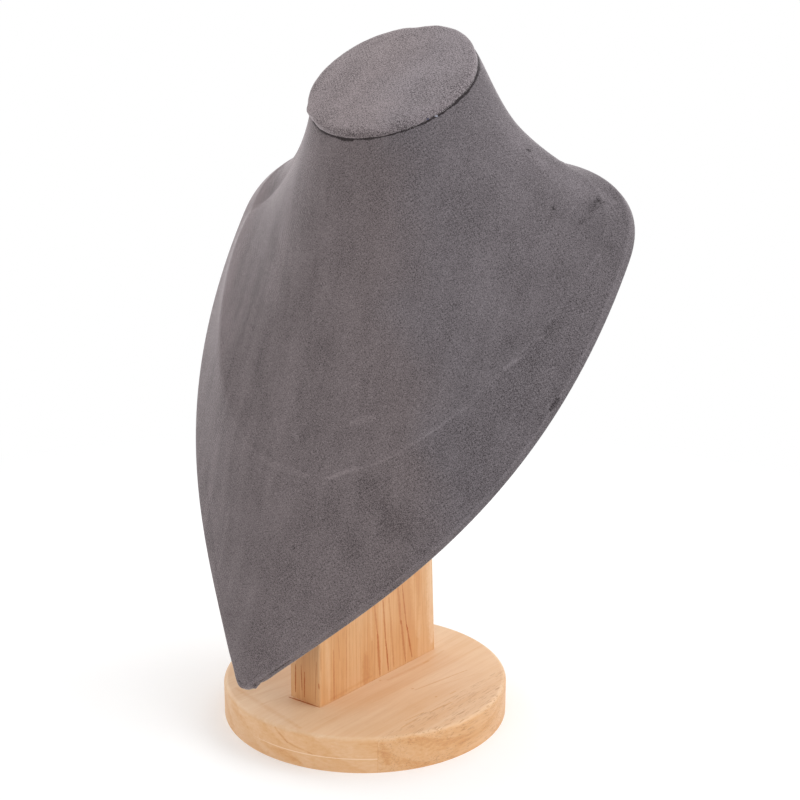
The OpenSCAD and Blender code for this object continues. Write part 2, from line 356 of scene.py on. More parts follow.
def makeSpeckGroup():
    # scattered specks, each in its own cell
    least = 0.4  # the smallest speck's size and each one's dark core, as shares of the size
    tree, given, out = newGroup("scatteredSpecks", ["Vector"], {"Spacing": 12.0, "Size": 0.05, "Share": 0.4},
                                ["Mask"])
    cells = addNode(tree, "ShaderNodeTexVoronoi", Randomness=1.0)
    feed(tree, cells.inputs["Scale"], calc(tree, "DIVIDE", 1.0, given["Spacing"]))
    feed(tree, cells.inputs["Vector"], given["Vector"])
    dice = fedNode(tree, "ShaderNodeSeparateColor", [cells.outputs["Color"]])
    chosen = calc(tree, "LESS_THAN", dice[0], given["Share"])
    size = times(tree, given["Size"], plus(tree, dice[1], least))
    near = ramp(tree, cells.outputs["Distance"], size, times(tree, size, least))
    feed(tree, out["Mask"], times(tree, near, chosen))


def makeGrainGroup():
    # wood whose grain runs along y: rings, fine streaks and short dark pores
    bendScale = (0.022, 0.006, 0.022)
    poreScale = (2.6, 0.17, 2.6)
    poreAreaScale = (0.05, 0.012, 0.05)
    ringSlant = (0.55, 3.0, 0.9)  # how fast the rings pass across, with the bend, and in depth
    streakScale = (0.9, 0.016, 0.9)  # with the bend, along and in depth
    darkens, ends = (0.25, 0.85), (1.0, 0.9)  # each ring darkens slowly and ends at once
    poreFrom, areaFrom = (0.58, 0.68), (0.3, 0.5)
    tree, given, out = newGroup("woodGrain", ["Vector", "Shift"],
                                {"Width": 9.0, "Bend": 14.0, "Fineness": 0.8, "Share": 0.5},
                                ["Rings", "Streaks", "Pores"])
    place = vectorCalc(tree, "ADD", given["Vector"], given["Shift"])
    x, y, z = split(tree, place)
    bend = swing(tree, vectorCalc(tree, "MULTIPLY", place, bendScale), 1.0, detail=1.5)
    wander = times(tree, bend, given["Bend"])
    across = added(tree, x, ringSlant[0], times(tree, wander, ringSlant[1]))
    across = added(tree, z, ringSlant[2], across)
    turn = calc(tree, "FRACT", calc(tree, "DIVIDE", across, given["Width"]))
    late = times(tree, ramp(tree, turn, *darkens), ramp(tree, turn, *ends))
    wavy = added(tree, wander, streakScale[0], x)
    fine = joined(tree, times(tree, wavy, given["Fineness"]), times(tree, y, streakScale[1]),
                  times(tree, z, streakScale[2]))
    area = noiseOf(tree, vectorCalc(tree, "MULTIPLY", place, poreAreaScale), 1.0)
    pores = noiseOf(tree, vectorCalc(tree, "MULTIPLY", place, poreScale), 1.0, detail=1.0)
    pores = times(tree, ramp(tree, pores, *poreFrom), ramp(tree, area, *areaFrom))
    feed(tree, out["Rings"], late)
    feed(tree, out["Streaks"], swing(tree, fine, 1.0, detail=4.0, roughness=0.6))
    feed(tree, out["Pores"], times(tree, pores, given["Share"]))


for makeGroup in (makeStrokeGroup, makeBlotchGroup, makePileGroup, makeSpeckGroup, makeGrainGroup):
    makeGroup()
print("shared node groups made")


# Materials
def newMaterial(name, settings):
    # a material with one principled shader, and object coordinates in millimetres
    material = bpy.data.materials.new(name)
    tree = emptyTree(material)
    shader = addNode(tree, "ShaderNodeBsdfPrincipled", **settings)
    fedNode(tree, "ShaderNodeOutputMaterial", [shader.outputs[0]])
    place = addNode(tree, "ShaderNodeTexCoord").outputs["Object"]
    return material, tree, shader, resized(tree, place, 1 / mm)


def addBump(tree, shader, height, distance):
    bump = addNode(tree, "ShaderNodeBump", Distance=distance * mm)
    feed(tree, bump.inputs["Height"], height)
    feed(tree, shader.inputs["Normal"], bump.outputs[0])


def total(tree, terms):
    # adds weighted terms
    whole = None
    for value, weight in terms:
        part = times(tree, value, weight)
        whole = part if whole is None else plus(tree, whole, part)
    return whole


def dress(piece, material):
    piece.data.materials.clear()
    piece.data.materials.append(material)


def surfaceOf(piece):
    points = [vertex.co for vertex in piece.data.vertices]
    return BVHTree.FromPolygons(points, [face.vertices for face in piece.data.polygons])


def markStrokes(tree, place, marks, surface, wear):
    # one stroke for each mark, laid where the photo's pixels meet the surface
    ragged = times(tree, swing(tree, place, 0.7, detail=3.0, roughness=0.6), wear)
    strokes = []
    for start, end, width, soft, strength in marks.values():
        ends = [surface.ray_cast(*pixelRay(*pixel))[0] for pixel in (start, end)]
        if None in ends:  # a mark that misses the surface is left out
            continue
        mask = useGroup(tree, "brushStroke", Vector=place, Start=ends[0] / mm, End=ends[1] / mm,
                        Width=width, Soft=soft, Ragged=ragged)
        strokes.append((mask["Mask"], strength))
    return strokes


# Velvet
velvet = {
    "dark": (0.036, 0.0285, 0.0295, 1),
    "light": (0.266, 0.224, 0.230, 1),
    "paintedCoolLight": (0.945, 1.0, 1.045, 1),  # painted light: a cooler tint towards the right and the top, standing in for cooler light from there
    "coolAt": (110, 145),  # where that tint comes in, across
    "coolRise": 0.35,  # how much sooner with height
    "coolStray": 40,  # how far its border wanders
    "level": 0.55,  # how far the plain nap lies from dark to light
    "blotches": 0.28,
    "wideBlotches": 0.14,
    "streaks": 0.26,
    "speckle": 1.25,
    "weave": 0.045,
    "specks": 0.12,  # dark ones and pale lint
    "wear": 0.4,  # how ragged its marks are
    "paintedRimSheen": 0.45,  # painted sheen: how much lighter the nap is painted where the surface turns away from view
    "rimFrom": 0.7,
    "nap": {"Size": 18.0, "Stretch": 0.2},
    "wideNap": {"Size": 70.0, "Stretch": 0.5},
    "pile": {"Size": 0.39, "Pitch": 1.4},
    "darkSpecks": {"Spacing": 16.0, "Size": 0.035, "Share": 0.35},
    "lint": {"Spacing": 19.0, "Size": 0.03, "Share": 0.3},
    "lintShift": (7, 3, 5),
    "pileHeight": 0.2,
    "shader": {"Roughness": 0.95, "Specular IOR Level": 0.15, "Sheen Weight": 0.9, "Sheen Roughness": 0.3,
               "Sheen Tint": (0.78, 0.72, 0.74, 1)},
    # how the nap of each piece differs: lighter (on the cap a painted light, as it faces up into the light),
    # wider range of shade, stronger blotches and grain, cooler (how much of the painted cool light it takes)
    "plainNap": {"level": 0, "reach": 1, "mottle": 1, "grain": 1, "cool": 1},
    "capNapLit": {"level": 0.11, "reach": 1.4, "mottle": 1.7, "grain": 1.5, "cool": 0.7},
}
# effects along the cover's lines: over which millimetres each comes in, and how much lighter or darker; most
# are painted light and shade, as said beside them
coverFades = {
    "wornAndLitCrease": (1.6, 0),  # from the crease: pale rubbed nap, and a painted highlight along the crease's ridge
    "ridge": (1.5, 0),  # from just inside the edge: a painted highlight on the edge's rounding
    "side": (-0.5, -1.3),  # round the edge: painted shade on its side
    "past": (0.8, -1.4),  # out over the crease: painted shade below it, on the right
    "turned": (16, 0),  # from the crease: painted sheen beside it, high on the left
    "onRight": (20, 80),
    "onLeft": (-50, -85),
    "leftHalf": (10, -50),
    "high": (150, 190),
    "broken": (0.38, 0.62, 0.35, 1),
}
coverShades = {"wornAndLitCrease": 0.09, "ridge": 0.14, "side": -0.06, "past": -0.05, "turned": 0.42, "brushed": 0.4}
ridgeInset = 0.4  # how far inside the edge its painted highlight lies
# painted shade in the seam under the cap's rim
seamShadeLine = {"shade": -0.65, "fade": (0.75, 0.25), "stray": 1.6, "strayMiddle": 0.4, "strayScale": 0.25}
# strokes on the velvet: from and to in the photo's pixels, width in mm, softness, lighter or darker
velvetMarks = {
    # pale rubbed nap along the crease's ridge, and a painted highlight of that ridge
    "creaseFarLeft": ((250, 447), (274, 463), 1, 1, 0.06),
    "creaseLeft": ((273, 462), (307, 475), 1.2, 1, 0.10),
    "creaseLow": ((325, 479), (356, 468), 1.4, 0.9, 0.2),
    "creaseLowSpark": ((328, 479), (340, 476), 1, 0.9, 0.14),
    "creaseMiddle": ((370, 466), (403, 452), 1, 1, 0.12),
    "creaseRight": ((423, 438), (453, 417), 1, 1, 0.14),
    "creaseRise": ((457, 415), (470, 405), 0.9, 1, 0.12),
    "creaseSpark": ((504, 369), (521, 357), 1.4, 0.9, 0.26),
    "creaseHigh": ((533, 343), (549, 331), 1.1, 1, 0.16),
    "smear": ((351, 424), (374, 417), 3.2, 1, 0.15),
    "brushLow": ((297, 365), (303, 440), 4, 1, -0.06),
    "brushLeft": ((270, 384), (280, 440), 2.4, 1, 0.05),
    "brushSpot": ((292, 430), (298, 437), 2, 0.9, 0.12),
    "patchTop": ((366, 486), (382, 506), 15, 1, -0.1),
    "patchLow": ((386, 512), (404, 536), 15, 1, -0.12),
    "smudgeRight": ((545, 331), (562, 322), 5, 1, -0.1),
    "smudgeMiddle": ((505, 347), (516, 338), 5, 1, -0.08),
    "moth": ((552, 207), (555, 209), 1.3, 0.8, -0.34),
    "mothTail": ((550, 212), (551, 220), 1.2, 1, -0.08),
    "fleck": ((527, 150), (531, 151), 1.5, 0.8, -0.46),
    "fleckLow": ((292, 546), (295, 549), 1.1, 0.9, -0.22),
    # painted highlights: the lighter rim along the right of the neck and over the right shoulder
    "paintedLightShoulder": ((545, 185), (610, 204), 14, 1, 0.08),
    "paintedRimNeck": ((503, 122), (541, 162), 9, 1, 0.08),
    "paintedRimShoulder": ((541, 163), (610, 200), 9, 1, 0.12),
    "paintedLightShoulderSide": ((612, 205), (622, 250), 8, 1, 0.07),
    "chestUpper": ((352, 215), (385, 262), 14, 1, 0.05),
    "scuff": ((590, 212), (598, 198), 3.6, 1, -0.24),
    "scuffSide": ((596, 200), (609, 204), 2, 1, -0.22),
    "scuffLow": ((579, 224), (592, 216), 2, 1, -0.14),
    "scuffPale": ((575, 219), (585, 211), 1.2, 1, 0.08),
    "edgeDark": ((551, 410), (559, 398), 1.6, 0.8, -0.4),
    "edgePale": ((546, 411), (553, 399), 0.7, 1, 0.12),
    "chestPale": ((478, 262), (500, 335), 16, 1, 0.07),
    # painted highlight on the right of the neck
    "paintedLightNeck": ((480, 130), (520, 190), 14, 1, 0.05),
    "neckDark": ((312, 165), (306, 265), 11, 1, -0.03),
    "rightDarkLow": ((545, 335), (566, 300), 6, 1, -0.06),
    "leftDark": ((268, 215), (262, 400), 12, 1, -0.08),
    "leftDarkHigh": ((290, 168), (272, 235), 7, 1, -0.08),
    "ridgeShade": ((222, 300), (222, 375), 1.6, 1, -0.10),
    # painted highlight on the left shoulder's far rim, and painted shade on the left of the neck
    "paintedRimShoulderLeft": ((273, 177), (256, 200), 2.6, 1, 0.16),
    "paintedShadeNeckSide": ((284, 180), (273, 255), 10, 1, -0.13),
    # painted shadow under the frayed edge at the tip
    "tipShadow": ((269, 675), (291, 660), 0.7, 0.8, -0.5),
    "tipShadowMiddle": ((259, 682), (264, 679), 0.8, 0.8, -0.4),
    "tipShadowLow": ((253, 686), (256, 685), 0.9, 0.8, -0.5),
    "tipShadowLeft": ((238, 680), (242, 684), 0.7, 0.8, -0.3),
    "fringeLeft": ((206, 480), (219, 590), 2.2, 1, -0.1),
    # painted shade in the seam under the cap's rim
    "lipShade": ((309, 117), (320, 127), 1.4, 0.8, -0.35),
    "seamShadowDeep": ((339, 138.5), (353, 140.5), 1, 0.9, -0.75),
    "seamShade": ((318, 131), (345, 140), 1.6, 1, -0.2),
}
capMarks = {
    "paleMiddle": ((366, 78), (396, 64), 8, 1, 0.06),
    "paleFront": ((345, 112), (396, 100), 5, 1, 0.05),
    # painted shade towards the cap's front edge
    "paintedShadeFront": ((326, 129), (352, 135), 3.6, 1, -0.2),
    "paintedShadeFrontMiddle": ((352, 135), (382, 134), 3.6, 1, -0.2),
    "paintedShadeFrontRight": ((382, 134), (408, 127), 3.4, 1, -0.16),
    "paleRight": ((388, 104), (428, 110), 5, 1, 0.05),
    "darkBack": ((400, 37), (414, 35), 5, 1, -0.08),
    "darkLeft": ((322, 108), (338, 116), 3, 1, -0.05),
    # painted shade in a dimple, and on the rim's lower edge at the left where the sheen catches it
    "dimpleShade": ((418, 33), (417, 42), 1.6, 1, -0.08),
    "paintedShadeRimLeft": ((311, 118), (327, 131), 0.8, 0.8, -0.3),
}


def lineTerms(tree, place, streaks):
    # painted highlight and shade along the crease and the edge, painted sheen beside the crease on the left,
    # pale rubbed nap on the crease, and the brushed left side
    def fade(value, key):
        return ramp(tree, value, *coverFades[key])

    x, _, z = split(tree, place)
    crease, edge = attributeOf(tree, "creaseOff"), attributeOf(tree, "edgeOff")
    fromCrease = calc(tree, "ABSOLUTE", crease)
    broken = fade(noiseOf(tree, place, 0.06), "broken")
    turnedLeft = times(tree, fade(fromCrease, "turned"), fade(x, "onLeft"))
    masks = {
        "wornAndLitCrease": times(tree, fade(fromCrease, "wornAndLitCrease"), broken),
        "ridge": fade(gapTo(tree, edge, ridgeInset), "ridge"),
        "side": fade(edge, "side"),
        "past": times(tree, fade(crease, "past"), fade(x, "onRight")),
        "turned": times(tree, turnedLeft, fade(z, "high")),
        "brushed": times(tree, streaks, fade(x, "leftHalf")),
    }
    return [(mask, coverShades[key]) for key, mask in masks.items()]


def seamShadeTerm(tree, place):
    # painted shade: the dark, uneven line along the seam under the cap
    stray = minus(tree, noiseOf(tree, place, seamShadeLine["strayScale"], detail=3.0), seamShadeLine["strayMiddle"])
    gap = minus(tree, attributeOf(tree, "seamOff"), times(tree, stray, seamShadeLine["stray"]))
    return ramp(tree, gap, *seamShadeLine["fade"]), seamShadeLine["shade"]


# lines adds the cover's painted light and shade along its crease and edge, and seam the painted shade in the
# seam under the cap
def makeVelvet(name, nap, marks=None, surface=None, lines=False, seam=False):
    material, tree, shader, place = newMaterial(name, velvet["shader"])
    upright = (math.radians(bust["lean"] - 90), 0, 0)  # turns the nap's streaks along the bust
    lean = addNode(tree, "ShaderNodeMapping", Rotation=upright)
    feed(tree, lean.inputs["Vector"], place)
    lean = lean.outputs[0]
    fine = useGroup(tree, "softBlotches", Vector=lean, **velvet["nap"])
    wide = useGroup(tree, "softBlotches", Vector=lean, **velvet["wideNap"])
    pile = useGroup(tree, "shortPile", Vector=lean, **velvet["pile"])
    specks = useGroup(tree, "scatteredSpecks", Vector=place, **velvet["darkSpecks"])
    moved = vectorCalc(tree, "ADD", place, velvet["lintShift"])
    lint = useGroup(tree, "scatteredSpecks", Vector=moved, **velvet["lint"])
    away = addNode(tree, "ShaderNodeLayerWeight").outputs["Facing"]
    terms = [
        (fine["Blotches"], velvet["blotches"] * nap["mottle"]),
        (wide["Blotches"], velvet["wideBlotches"]),
        (fine["Streaks"], velvet["streaks"]),
        (pile["Speckle"], velvet["speckle"] * nap["grain"]),
        (pile["Weave"], velvet["weave"] * nap["grain"]),
        (specks["Mask"], -velvet["specks"]),
        (lint["Mask"], velvet["specks"]),
        # painted sheen at grazing angles
        (ramp(tree, away, velvet["rimFrom"], 1.0), velvet["paintedRimSheen"]),
    ]
    if marks:
        terms += markStrokes(tree, place, marks, surface, velvet["wear"])
    if lines:
        terms += lineTerms(tree, place, fine["Streaks"])
    if seam:
        terms.append(seamShadeTerm(tree, place))
    shade = clamped(tree, plus(tree, total(tree, terms), velvet["level"] + nap["level"]))
    palest = [low + (high - low) * nap["reach"] for low, high in zip(velvet["dark"][:3], velvet["light"])]
    colour = blend(tree, shade, velvet["dark"], palest + [1])
    x, _, z = split(tree, place)
    # the painted cool light comes in towards the right and the top
    towards = added(tree, z, velvet["coolRise"], x)
    towards = added(tree, noiseOf(tree, place, 0.03), velvet["coolStray"], towards)
    cooler = ramp(tree, towards, *velvet["coolAt"], 0.0, nap["cool"])
    colour = blend(tree, cooler, colour, blend(tree, 1.0, colour, velvet["paintedCoolLight"], "MULTIPLY"))
    feed(tree, shader.inputs["Base Color"], colour)
    addBump(tree, shader, pile["Height"], velvet["pileHeight"])
    return material


# Wood
wood = {
    "pale": (0.87, 0.62, 0.41, 1),
    "mid": (0.71, 0.39, 0.175, 1),
    "dark": (0.45, 0.12, 0.03, 1),
    "pore": (0.48, 0.22, 0.09, 1),
    "level": 0.1,  # how far the plain wood lies from pale to dark
    "rings": 0.09,
    "streaks": 0.42,
    "blotches": 0.35,
    "blotch": {"Size": 45.0, "Stretch": 0.5},
    "pores": 0.5,
    "poreDepth": 0.08,
    "endGrainAndShade": 0.22,  # how much darker the sides that stand upright are: painted shade, and end grain where the disc's side cuts across the grain
    "wear": 0.35,  # how ragged its marks are
    "shader": {"Roughness": 0.45, "Specular IOR Level": 0.3},
    "joint": 0.1,
    "jointFade": (0.2, 0.03),  # how far from a joint it darkens
    "uprightFade": (0.9, 0.2),  # how far up a side faces
    "midFade": (0.0, 0.5),  # where its shade goes from pale to mid, and then to dark
    "darkFade": (0.45, 1.0),
}
# the left of the disc is glued up from two layers, and the glue line shows pale in its side
layerLine = {
    "height": 6.4,
    "width": (0.28, 0.1),
    "starts": (-12, 8),
    "shade": -0.45,
}
# boards of each wooden piece: where it starts across, its place in the log, ring width, bend, fineness of its
# streaks, share of pores, tone
discBoards = [
    (-100, (13, 40, 5), 13, 8, 0.4, 0.15, 0.0),
    (46.6, (127, 90, 61), 9, 8, 1.0, 1.0, -0.03),
]
postBoards = [(-100, (33, 15, 80), 14, 6, 1.1, 0.4, -0.1)]
# strokes on the wood: from and to in the photo's pixels, width in mm, softness, how much darker
discMarks = {
    "streak": ((415, 690), (467, 670), 0.8, 0.9, 0.26),
    "streakFar": ((388, 680), (428, 661), 2.2, 1, 0.16),
    "streakFarEnd": ((424, 663), (444, 650), 1.6, 1, 0.11),
    "streakThird": ((430, 688), (480, 673), 0.6, 1, 0.10),
    "poreOne": ((379.5, 680.5), (381, 680), 0.7, 0.6, 0.30),
    "poreTwo": ((411.5, 689), (413.5, 688.5), 0.7, 0.6, 0.36),
    "poreThree": ((435, 697), (437, 696.5), 0.6, 0.7, 0.24),
    "dashOne": ((401, 728), (420, 717), 0.6, 0.9, 0.26),
    "dashTwo": ((405, 721), (424, 712), 0.5, 0.9, 0.26),
    "dashThree": ((430, 712), (452, 702), 0.6, 0.9, 0.25),
    "dashFour": ((450, 694), (456, 691), 0.5, 0.8, 0.24),
    "bandLeft": ((236, 688), (300, 728), 2.6, 1, 0.14),
    "bandSide": ((232, 706), (262, 737), 3, 1, 0.10),
    "bandLow": ((262, 741), (300, 762), 3, 1, 0.13),
    "bandEdge": ((275, 727), (287, 742), 0.9, 0.9, 0.2),
    "bandEdgeLow": ((287, 742), (312, 754), 0.9, 0.9, 0.17),
    "grainLeft": ((262, 704), (330, 682), 1.2, 1, 0.12),
    "grainTip": ((240, 700), (290, 684), 1.2, 1, 0.1),
    # painted shadow where the post stands on the disc
    "footShadow": ((289, 697), (320, 707.5), 0.7, 0.6, 0.85),
    "footShadowSide": ((321, 707.5), (372, 681), 0.6, 0.8, 0.3),
    "footShadowBack": ((372, 681), (434, 648.5), 0.6, 0.8, 0.42),
    "smoothPatch": ((330, 712), (420, 716), 16, 1, -0.05),
    "redPatch": ((382, 744), (388, 764), 3, 1, 0.11),
}
postMarks = {
    "streakLeft": ((374.5, 606), (377.5, 634), 0.9, 0.9, 0.24),
    "streakLeftLow": ((377.5, 632), (380, 675), 1.3, 0.9, 0.36),
    "streakMiddle": ((383, 600), (386, 646), 0.8, 0.8, 0.36),
    "streakMiddleLow": ((386, 642), (388.5, 671), 0.7, 0.7, 0.48),
    "streakSoft": ((389, 598), (394, 667), 1.2, 1, 0.18),
    "streakWide": ((398, 588), (401, 624), 1.5, 1, 0.22),
    "streakWideLow": ((401, 620), (405.5, 661), 1.2, 0.9, 0.25),
    "streakRight": ((402, 584), (407, 630), 0.7, 0.9, 0.30),
    "streakKnot": ((406.5, 625), (407.5, 629), 0.7, 0.7, 0.30),
    "streakRightLow": ((407, 627), (412, 657), 0.9, 0.9, 0.36),
    "streakFar": ((421, 566), (424, 652), 0.5, 1, 0.10),
    "lineOne": ((321, 648), (321, 672), 0.4, 0.9, 0.24),
    "lineTwo": ((333.5, 650), (334.5, 699), 0.9, 1, 0.18),
    "lineThree": ((338, 636), (340, 661), 0.4, 0.9, 0.18),
    "lineFour": ((346.5, 630), (346.5, 692), 0.4, 0.9, 0.18),
    "lineFive": ((349.8, 628), (350, 692), 0.4, 0.9, 0.17),
    "lineSix": ((356, 622), (357, 688), 0.4, 1, 0.12),
    "warmPatch": ((365.5, 655), (366, 682), 4, 1, 0.14),
    # painted shade along the post's foot
    "footShadePost": ((330, 700), (372, 676), 1.6, 1, 0.08),
    "paleEdge": ((430, 560), (432, 640), 5, 1, -0.26),
    "palePart": ((412, 572), (418, 635), 4, 1, -0.11),
    "paleTop": ((371, 609), (372, 640), 1.6, 1, -0.13),
    "paleLeft": ((327, 642), (330, 700), 2.4, 1, -0.08),
    "frontOne": ((295.5, 664), (295.5, 692), 0.6, 0.8, 0.55),
    "frontTwo": ((301, 664), (302, 690), 0.5, 0.9, 0.42),
    "frontThree": ((304.5, 672), (304.5, 697), 0.5, 0.9, 0.42),
    "frontCorner": ((316.5, 662), (315, 703), 0.5, 0.8, 0.22),
    "cornerKnot": ((318.7, 684), (319, 689), 0.5, 0.7, 0.36),
}


def boardFigure(tree, boards, across, along):
    # each board's own grain from where it starts across, its tone, and the glue joints between boards
    figure, tone, seam = {}, 0.0, 0.0
    for start, shift, ringWidth, bend, fineness, poreShare, boardTone in boards:
        grain = useGroup(tree, "woodGrain", Vector=along, Shift=shift, Width=ringWidth, Bend=bend,
                         Fineness=fineness, Share=poreShare)
        if not figure:
            figure = {part: grain[part] for part in ("Rings", "Streaks", "Pores")}
            tone = boardTone
            continue
        past = calc(tree, "GREATER_THAN", across, start)
        for part in figure:
            figure[part] = added(tree, past, minus(tree, grain[part], figure[part]), figure[part])
        tone = added(tree, past, boardTone, tone)
        seam = plus(tree, ramp(tree, gapTo(tree, across, start), *wood["jointFade"]), seam)
    return figure, tone, seam


def makeWood(name, boards, marks, surface, upright=False, layered=False):
    material, tree, shader, place = newMaterial(name, wood["shader"])
    x, y, z = split(tree, place)
    across, along = x, place
    if upright:
        across, along = y, joined(tree, y, z, x)
    figure, tone, seam = boardFigure(tree, boards, across, along)
    blotch = useGroup(tree, "softBlotches", Vector=along, **wood["blotch"])
    facing = split(tree, addNode(tree, "ShaderNodeNewGeometry").outputs["Normal"])[2]
    steep = ramp(tree, calc(tree, "ABSOLUTE", facing), *wood["uprightFade"])
    dark = total(tree, [(figure["Rings"], wood["rings"]), (figure["Streaks"], wood["streaks"]),
                        (blotch["Blotches"], wood["blotches"]), (seam, wood["joint"]),
                        (steep, wood["endGrainAndShade"])])
    dark = minus(tree, plus(tree, dark, wood["level"]), tone)
    for mask, strength in markStrokes(tree, place, marks, surface, wood["wear"]):
        dark = added(tree, mask, strength, dark)
    if layered:
        line = times(tree, ramp(tree, gapTo(tree, z, layerLine["height"]), *layerLine["width"]),
                     ramp(tree, x, *layerLine["starts"]))
        line = times(tree, line, calc(tree, "LESS_THAN", x, boards[1][0]))
        dark = added(tree, line, layerLine["shade"], dark)
    dark = clamped(tree, dark)
    colour = blend(tree, ramp(tree, dark, *wood["midFade"], smooth=False), wood["pale"], wood["mid"])
    colour = blend(tree, ramp(tree, dark, *wood["darkFade"], smooth=False), colour, wood["dark"])
    colour = blend(tree, times(tree, figure["Pores"], wood["pores"]), colour, wood["pore"])
    feed(tree, shader.inputs["Base Color"], colour)
    addBump(tree, shader, times(tree, figure["Pores"], -1.0), wood["poreDepth"])
    return material


def makePlain(name, colour, roughness, metal=0.0, gloss=0.5):
    # a plain finish with faint mottling
    settings = {"Roughness": roughness, "Metallic": metal, "Specular IOR Level": gloss}
    material, tree, shader, place = newMaterial(name, settings)
    mottle = useGroup(tree, "softBlotches", Vector=place, Size=6.0, Stretch=1.0)
    darker = tuple(value * 0.8 for value in colour[:3]) + (1,)
    mixed = blend(tree, plus(tree, mottle["Blotches"], 0.5), darker, colour)
    feed(tree, shader.inputs["Base Color"], mixed)
    return material


# parts that are only seen when the stand is taken apart: nodes, colour, roughness, metal
innerParts = {
    "zincSteel": (("base_screws", "board_screws"), (0.62, 0.63, 0.65, 1), 0.35, 1.0),
    "hardboard": (("back_board", "cap_board"), (0.30, 0.18, 0.09, 1), 0.7, 0.0),
    "castResin": (("bust_form",), (0.75, 0.72, 0.64, 1), 0.55, 0.0),
}
disc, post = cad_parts["base_disc"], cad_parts["post"]
dress(disc, makeWood("discWood", discBoards, discMarks, surfaceOf(disc), layered=True))
dress(post, makeWood("postWood", postBoards, postMarks, surfaceOf(post), upright=True))
for name, (nodes, colour, roughness, metal) in innerParts.items():
    material = makePlain(name, colour, roughness, metal)
    for node in nodes:
        dress(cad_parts[node], material)
print("wood and plain parts dressed")


# The bust's surface, in its own axes: across, up the back board and out of its front
bust = {
    "lean": 32,
    "tipHeight": 35,
    "tipReach": 78.5,
    "tipBlunt": 4,
    "halfWidth": 108,
    "wideUp": 213,
    "shoulderUp": 251,
    "shoulderOut": 65,
    "napeUp": 271,
    "tipAngle": 39,
    "sidePulls": (0.3, 0.55),
    "shoulderPulls": (0.75, 0.35),
    "shoulderSlope": 6,
    "napePull": 0.45,
    "tipCrowd": 1.3,
    "creaseUp": 92,
    "creaseHeight": 19,
    "creasePulls": (0.65, 0.25),
    "creasePower": 1.7,
    "borderWidth": 9,
    "borderHeight": 4.5,
    "edgeHeight": 1,
    "napeEdge": (2.5, 7.5),  # width and height of the rounded edge behind the neck
    "boardThick": 2,
    "cloth": 0.7,
    "glue": 0.1,
    "hem": 12,
    "middle": (0, 190),  # what the hem is drawn in towards
    "tipBumps": [(4.8, 0.9, 0.8), (7.4, 1.3, -0.5), (12, 1, 0.3), (-9, 6, -0.55)],  # along, width, out
}
neck = {
    "width": 79.5,
    "depth": 66.5,
    "up": 260,
    "out": 49,
    "tilt": 19,
    "angleAtWide": 58,
    "angleAtShoulder": 95,
    "frontSlope": 3,
    "sideSlope": 8,
    "leaveShare": 0.4,
    "napeRise": 12,
    "straight": 8,
    "flareFront": 12,
    "flareSide": 3,
}
finish = {
    "aroundSteps": (72, 26, 22),  # tip to widest place, shoulder, nape
    "chestRows": 60,
    "borderRows": 12,
    "edgeRound": 0.9,
    "creaseRound": 4.5,
    "roundRows": 5,
    "cornerShare": 0.45,  # the most of a side that a rounded corner takes
    "topShare": 0.6,  # share of the cloth's thickness, and of its fraying, at the top of the edge
    "lipRound": 0.9,
    "lipDrop": 0.27,
    "lipRise": 0.25,
}


def bezier(points, t):
    t = np.reshape(t, np.shape(t) + (1,))
    if len(points) == 3:
        return (1 - t) ** 2 * points[0] + 2 * (1 - t) * t * points[1] + t * t * points[2]
    return ((1 - t) ** 3 * points[0] + 3 * (1 - t) ** 2 * t * points[1]
            + 3 * (1 - t) * t * t * points[2] + t ** 3 * points[3])


def sinDeg(a):
    return np.sin(np.radians(a))


def cosDeg(a):
    return np.cos(np.radians(a))


def unit(v):
    return v / np.maximum(np.linalg.norm(v, axis=-1), 1e-9)[..., None]


def withHeight(line, height):
    return np.column_stack([line, np.broadcast_to(height, len(line))])


def wholeRing(half):
    # mirrors a half that runs from the tip to the nape
    return np.vstack([half, half[-2:0:-1] * [-1, 1, 1]])


def inFront(points):
    # from the bust's axes to the stand's, in metres
    across, up, out = points[..., 0], points[..., 1], points[..., 2]
    y = -bust["tipReach"] + up * sinDeg(bust["lean"]) - out * cosDeg(bust["lean"])
    z = bust["tipHeight"] + up * cosDeg(bust["lean"]) + out * sinDeg(bust["lean"])
    return np.stack([across, y, z], -1) * mm


def halfOutline(side, shoulder, nape, onSide, onShoulder):
    # three curves: up the side to the widest place, over the shoulder, and in to the nape
    b = bust
    wide = np.array([b["halfWidth"], b["wideUp"]])
    inner = np.array([b["shoulderOut"], b["shoulderUp"]])
    way = np.array([cosDeg(b["shoulderSlope"]), -sinDeg(b["shoulderSlope"])])
    tip = np.array([0, -b["tipBlunt"] / 2])
    rise = np.array([sinDeg(b["tipAngle"]), cosDeg(b["tipAngle"])])
    low = bezier([tip, tip + b["sidePulls"][0] * b["wideUp"] * rise,
                  wide - [0, b["sidePulls"][1] * b["wideUp"]], wide], side)
    low[:, 1] = np.hypot(low[:, 1] + b["tipBlunt"] / 2, b["tipBlunt"]) - b["tipBlunt"] / 2
    mid = bezier([wide, wide + [0, b["shoulderPulls"][0] * (b["shoulderUp"] - b["wideUp"])],
                  inner + b["shoulderPulls"][1] * (b["halfWidth"] - b["shoulderOut"]) * way, inner], shoulder)
    top, pull = np.array([0, b["napeUp"]]), b["napePull"] * b["shoulderOut"]
    high = bezier([inner, inner - pull * way, top + [pull, 0], top], nape)
    return np.where(onSide[:, None], low, np.where(onShoulder[:, None], mid, high))


